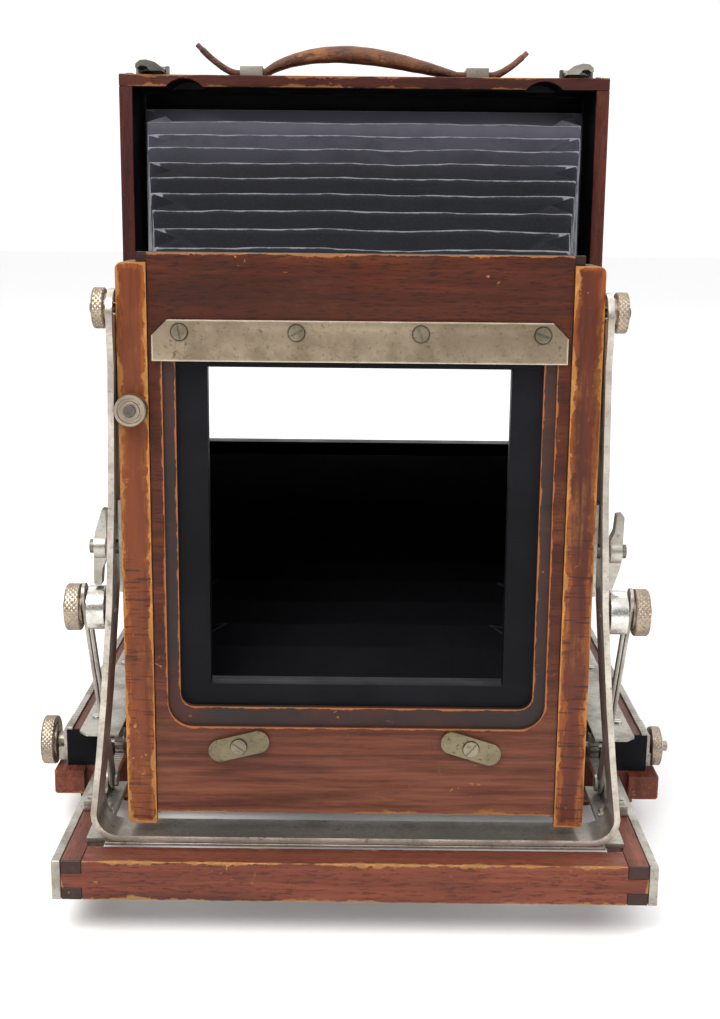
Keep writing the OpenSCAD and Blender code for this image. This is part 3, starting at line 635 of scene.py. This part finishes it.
def ring(y, kind, depth, gusset):
    """One ring of the bellows as (x, z) points; kind is ridge, side (fold runs out at the sides) or top."""
    a, zb, zt = bellows_size(min(y, REAR_Y))
    d = 0 if kind == "ridge" else depth
    corner = {"ridge": (a, 0), "side": (a - d, 0), "top": (a, d)}[kind]
    flat = [a - gusset - (2 * (a - gusset)) * i / 8 for i in range(9)]
    tall = [zt - gusset - (zt - zb - 2 * gusset) * i / 6 for i in range(7)]
    pts = [(corner[0], zt - corner[1])]
    pts += [(x, zt - d) for x in flat]
    pts += [(-corner[0], zt - corner[1])]
    pts += [(-a + d, z) for z in tall]
    pts += [(-corner[0], zb + corner[1])]
    pts += [(-x, zb + d) for x in flat]
    pts += [(corner[0], zb + corner[1])]
    pts += [(a - d, z) for z in reversed(tall)]
    return pts


CORNERS = (0, 10, 18, 28)
COUNT = 36


def bellows_mesh():
    """Folded cloth tube: ridges, valleys and the corner gussets that alternate between top and sides."""
    rows = [(BACK_END, "ridge", -1)]
    k = 0
    y = REAR_Y
    while y - PITCH > FRONT_Y:
        rows.append((y, "ridge", k))
        rows.append((y - PITCH / 2, "top" if k % 2 else "side", k))
        k += 1
        y -= PITCH
    rows.append((y, "ridge", k))
    rows.append((FRONT_Y, "top", k))
    bm = bmesh.new()
    pleat = bm.faces.layers.int.new("pleat")
    crease = []
    grid = []
    for y, kind, _ in rows:
        depth = DEPTH if kind != "ridge" and y > FRONT_Y else 3.0
        grid.append([bm.verts.new((x * MM, y * MM, z * MM)) for x, z in ring(y, kind, depth, GUSSET)])
    for i in range(len(rows) - 1):
        for j in range(COUNT):
            n = (j + 1) % COUNT
            quad = [grid[i][j], grid[i][n], grid[i + 1][n], grid[i + 1][j]]
            tris = None
            if j in CORNERS or n in CORNERS:
                out, inn = (j, n) if j in CORNERS else (n, j)
                ridge, fold = (i, i + 1) if rows[i][1] == "ridge" else (i + 1, i)
                c, r, f, e = grid[ridge][out], grid[ridge][inn], grid[fold][inn], grid[fold][out]
                tris = [(c, r, f), (c, f, e)]
                on_top = abs(c.co.z - r.co.z) < 1e-9
                if rows[fold][1] == ("side" if on_top else "top"):
                    crease.append((c.co.copy(), f.co.copy()))
            for one in tris or [quad]:
                face = bm.faces.new(one)
                face[pleat] = max(rows[i][2], 0)
    for i, row in enumerate(rows):
        if row[1] == "ridge":
            crease += [(grid[i][j].co.copy(), grid[i][(j + 1) % COUNT].co.copy()) for j in range(COUNT)]
    bmesh.ops.recalc_face_normals(bm, faces=bm.faces)
    bmesh.ops.subdivide_edges(bm, edges=bm.edges, cuts=5, use_grid_fill=True)
    bmesh.ops.triangulate(bm, faces=[f for f in bm.faces if len(f.verts) > 4])
    worn_lines(bm, crease)
    ends = (FRONT_Y * MM + 1e-6, 0.1155)
    loose = [v for v in bm.verts if ends[0] < v.co.y < ends[1]]
    bmesh.ops.smooth_vert(bm, verts=loose, factor=0.2, use_axis_x=True, use_axis_y=True, use_axis_z=True)
    return bm


def worn_lines(bm, crease):
    """Distance from each point to the nearest fold line, kept on the mesh for the material."""
    a = np.array([c[0] for c in crease])
    d = np.array([c[1] for c in crease]) - a
    dd = (d * d).sum(1)
    pts = np.array([v.co for v in bm.verts])
    best = np.full(len(pts), 1.0)
    for i in range(len(a)):
        t = np.clip(((pts - a[i]) @ d[i]) / dd[i], 0, 1)
        best = np.minimum(best, np.linalg.norm(pts - a[i] - t[:, None] * d[i], axis=1))
    layer = bm.verts.layers.float.new("fold")
    for v, b in zip(bm.verts, best):
        v[layer] = b * 1000


def cloth_material():
    m = Nodes("bellows_cloth")
    at = m.tree.nodes.new("ShaderNodeAttribute")
    at.attribute_name = "fold"
    gap = at.outputs["Fac"]
    weave = m.noise(1.0, 2, 0.6, m.scaled((900, 900, 900)))
    cloud = m.noise(30, 5, 0.65)
    rub = m.noise(85, 4, 0.65)
    colour = m.mix(m.step(cloud, 0.35, 0.7), (0.0045, 0.0048, 0.0065), (0.0095, 0.01, 0.0135))
    colour = m.mix(m.step(weave, 0.45, 0.7, 0, 0.3), colour, (0.02, 0.021, 0.027))
    # Painted light: the rear, higher pleats are painted paler in a cloudy spread, as if lit from above, and the
    # last rear stretch is painted paler still.
    painted_light_rear = m.math("MULTIPLY", m.step(m.xyz()[1], -0.03, 0.06), m.step(cloud, 0.3, 0.6, 0.55, 1))
    colour = m.mix(m.math("MULTIPLY", painted_light_rear, 0.8), colour, (0.06, 0.058, 0.078))
    colour = m.mix(m.step(m.xyz()[1], 0.055, 0.085, 0, 0.85), colour, (0.16, 0.155, 0.19))
    width = m.step(rub, 0.3, 0.72, 0.6, 1.5)
    line = m.step(m.math("DIVIDE", gap, width), 0.3, 1.0, 1, 0)
    line = m.math("MULTIPLY", line, m.step(rub, 0.3, 0.6, 0.6, 1.0))
    colour = m.mix(m.step(gap, 0.5, 4, 0.2, 0), colour, (0.04, 0.042, 0.052))
    colour = m.mix(line, colour, (0.19, 0.195, 0.21))
    back = m.tree.nodes.new("ShaderNodeNewGeometry").outputs["Backfacing"]
    colour = m.mix(back, colour, m.mix(line, (0.006, 0.006, 0.0075), (0.03, 0.03, 0.036)))
    height = m.math("ADD", m.math("MULTIPLY", weave, 0.4), m.math("MULTIPLY", m.noise(60, 5, 0.7), 1.5))
    m.set(Base_Color=colour, Roughness=m.step(cloud, 0.3, 0.7, 0.55, 0.75), Normal=m.bump(height, 0.0006, 0.7))
    m.set(Sheen_Weight=0.01, Sheen_Roughness=0.5)
    m.set(Specular_IOR_Level=m.math("SUBTRACT", 0.09, m.math("MULTIPLY", back, 0.06)))
    return m.mat


def build_bellows():
    bm = bellows_mesh()
    bm.normal_update()
    for v in bm.verts:
        if FRONT_Y * MM + 0.001 < v.co.y < 0.094:
            p = v.co * 1000
            lift = noise.noise(p / 38) * 0.9 + noise.noise(p / 9) * 0.35
            v.co += v.normal * lift * MM
    spans = (("bellows_rear", "main_bed", "front_bed", 0, 5, 0.095, -0.0592),
             ("bellows_middle", "front_bed", "carriage", 6, 6, -0.0592, -0.0849),
             ("bellows_fore", "carriage", "bracket", 7, 9, -0.0849, -0.162),
             ("bellows_tilt", "bracket", "front_frame", 10, 10, -0.162, -0.1877),
             ("bellows_front", "front_frame", "lens_panel", 11, 12, -0.1877, -0.2134))
    material = cloth_material()
    for name, a, b, first, last, start, end in spans:
        part = bm.copy()
        layer = part.faces.layers.int["pleat"]
        gone = [f for f in part.faces if not first <= f[layer] <= last]
        bmesh.ops.delete(part, geom=gone, context="FACES")
        mesh = bpy.data.meshes.new(name)
        part.to_mesh(mesh)
        part.free()
        o = finish_mesh(name, mesh, material, sharp=38)
        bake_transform(o)
        if first == 0:
            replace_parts(o, "bellows")
    bm.free()


build_bellows()

# ---------------------------------------------------------------- handle

BOX_TOP = 390
HANDLE_Y = 95


def strap_line(x):
    """Height of the middle of the strap over the box and half its thickness, in millimetres."""
    if x < -79 or x > 79:
        return 3.6 + (abs(x) - 79) ** 1.55 * 0.115, 2.0
    if -62 < x < 57:
        u = (x + 62) / 119
        return 3.6 + 12.2 * math.sin(math.pi * u ** 0.75), 2 + 3.3 * math.sin(math.pi * u) ** 0.8
    return 3.6, 2.0


def leather_material():
    m = Nodes("handle_leather")
    grain = m.voronoi(900)
    cracks = m.noise(1.0, 5, 0.7, m.scaled((120, 700, 260)))
    cloud = m.noise(60, 5, 0.65)
    colour = m.ramp(cloud, [(0.32, (0.055, 0.018, 0.009)), (0.5, (0.15, 0.052, 0.02)),
                            (0.68, (0.27, 0.105, 0.04))])
    colour = m.mix(m.step(cracks, 0.5, 0.66, 0, 0.75), colour, (0.03, 0.011, 0.007))
    colour = m.mix(m.step(m.noise(200, 4, 0.7), 0.6, 0.72, 0, 0.5), colour, (0.42, 0.2, 0.09))
    height = m.math("SUBTRACT", m.math("MULTIPLY", grain, 0.5), m.math("MULTIPLY", cracks, 1.2))
    m.set(Base_Color=colour, Roughness=m.step(cloud, 0.3, 0.7, 0.42, 0.68), Normal=m.bump(height, 0.0005, 0.8))
    m.set(Specular_IOR_Level=0.4)
    return m.mat


def build_handle():
    """Leather strap: thick rolled grip in the middle, thin ends that pass the loops and curl up."""
    xs = [-104 + 205 * i / 260 for i in range(261)]
    around = 28
    verts, faces = [], []
    for i, x in enumerate(xs):
        z, half = strap_line(x)
        z0, _ = strap_line(x - 0.5)
        z1, _ = strap_line(x + 0.5)
        lean = math.atan2(z1 - z0, 1.0)
        grip = max(0.0, min(1.0, (half - 2.0) / 3.3))
        wide = 8 - 1.6 * grip
        if i < 4 or i > 256:
            wide *= 0.86 + 0.14 * (min(i, 260 - i) / 4) ** 0.5
            half *= 0.8
        power = 0.42 + 0.5 * grip
        wob = noise.noise((x / 11, 3.1, 0.2)) * 0.35
        for k in range(around):
            t = 2 * math.pi * k / around
            c, s = math.cos(t), math.sin(t)
            v = math.copysign(abs(c) ** power, c) * (wide + wob)
            h = math.copysign(abs(s) ** power, s) * half
            h += noise.noise((x / 6, k / 4, 1.7)) * 0.22
            across = x - h * math.sin(lean)
            height = BOX_TOP + z + h * math.cos(lean)
            verts.append((across * MM, (HANDLE_Y + v) * MM, height * MM))
    n = len(xs)
    for i in range(n - 1):
        for k in range(around):
            m = (k + 1) % around
            faces.append((i * around + k, (i + 1) * around + k, (i + 1) * around + m, i * around + m))
    faces.append(tuple(range(around)))
    faces.append(tuple((n - 1) * around + k for k in reversed(range(around))))
    o = add("handle_leather_strap", verts, faces, leather_material(), "main_bed", sharp=60)
    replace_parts(o, "handle_strap")


build_handle()

# ---------------------------------------------------------------- stage


LIGHTS = (  # name, place, size, watts, colour
    ("key", (-0.7, -1.5, 1.9), 1.3, 46, (1, 0.98, 0.95)),
    ("fill", (1.5, -1.1, 0.9), 1.0, 13, (0.96, 0.98, 1)),
    ("back", (0.2, 1.2, 2.2), 2.2, 14, (1, 1, 1)))
DIM_SKY = 0.2
FULL_SKY = 1.15


def stage():
    """Pale floor, a sky that is dim in front of the object so its blacks stay black, and three soft lights."""
    m = Nodes("floor_paper")
    grain = m.noise(300, 3)
    m.set(Base_Color=m.mix(m.step(grain, 0.3, 0.7), (0.88, 0.88, 0.88), (0.9, 0.9, 0.9)), Roughness=0.6)
    m.set(Specular_IOR_Level=0.1, Emission_Color=(1, 1, 1), Emission_Strength=0.07)
    floor = add("floor", [(-6, -6, 0), (6, -6, 0), (6, 9, 0), (-6, 9, 0)], [(0, 1, 2, 3)], m.mat, smooth=False)
    world = bpy.data.worlds.new("world")
    bpy.context.scene.world = world
    world.use_nodes = True
    tree = world.node_tree
    way = tree.nodes.new("ShaderNodeSeparateXYZ")
    tree.links.new(tree.nodes.new("ShaderNodeTexCoord").outputs["Generated"], way.inputs[0])
    parts = []
    for out, low, high in ((way.outputs[1], -0.1, 0.35), (way.outputs[2], 0.35, 0.8)):
        step = tree.nodes.new("ShaderNodeMapRange")
        step.interpolation_type = "SMOOTHSTEP"
        step.inputs[1].default_value = low
        step.inputs[2].default_value = high
        step.inputs[3].default_value = DIM_SKY
        step.inputs[4].default_value = FULL_SKY
        tree.links.new(out, step.inputs[0])
        parts.append(step.outputs[0])
    most = tree.nodes.new("ShaderNodeMath")
    most.operation = "MAXIMUM"
    for i, part in enumerate(parts):
        tree.links.new(part, most.inputs[i])
    seen = tree.nodes.new("ShaderNodeMath")
    seen.operation = "MAXIMUM"
    tree.links.new(most.outputs[0], seen.inputs[0])
    tree.links.new(tree.nodes.new("ShaderNodeLightPath").outputs["Is Camera Ray"], seen.inputs[1])
    back = tree.nodes["Background"]
    back.inputs[0].default_value = (1, 1, 1, 1)
    tree.links.new(seen.outputs[0], back.inputs[1])
    for name, at, size, power, colour in LIGHTS:
        data = bpy.data.lights.new(name, "AREA")
        data.size = size
        data.energy = power
        data.color = colour
        lamp = bpy.data.objects.new(name, data)
        bpy.context.scene.collection.objects.link(lamp)
        aim = Vector((0, -0.1, 0.18)) - Vector(at)
        lamp.matrix_world = Matrix.Translation(at) @ aim.to_track_quat("-Z", "Y").to_matrix().to_4x4()
    view = bpy.context.scene.view_settings
    view.view_transform = "Standard"
    view.look = "None"
    view.exposure = 0.0


stage()
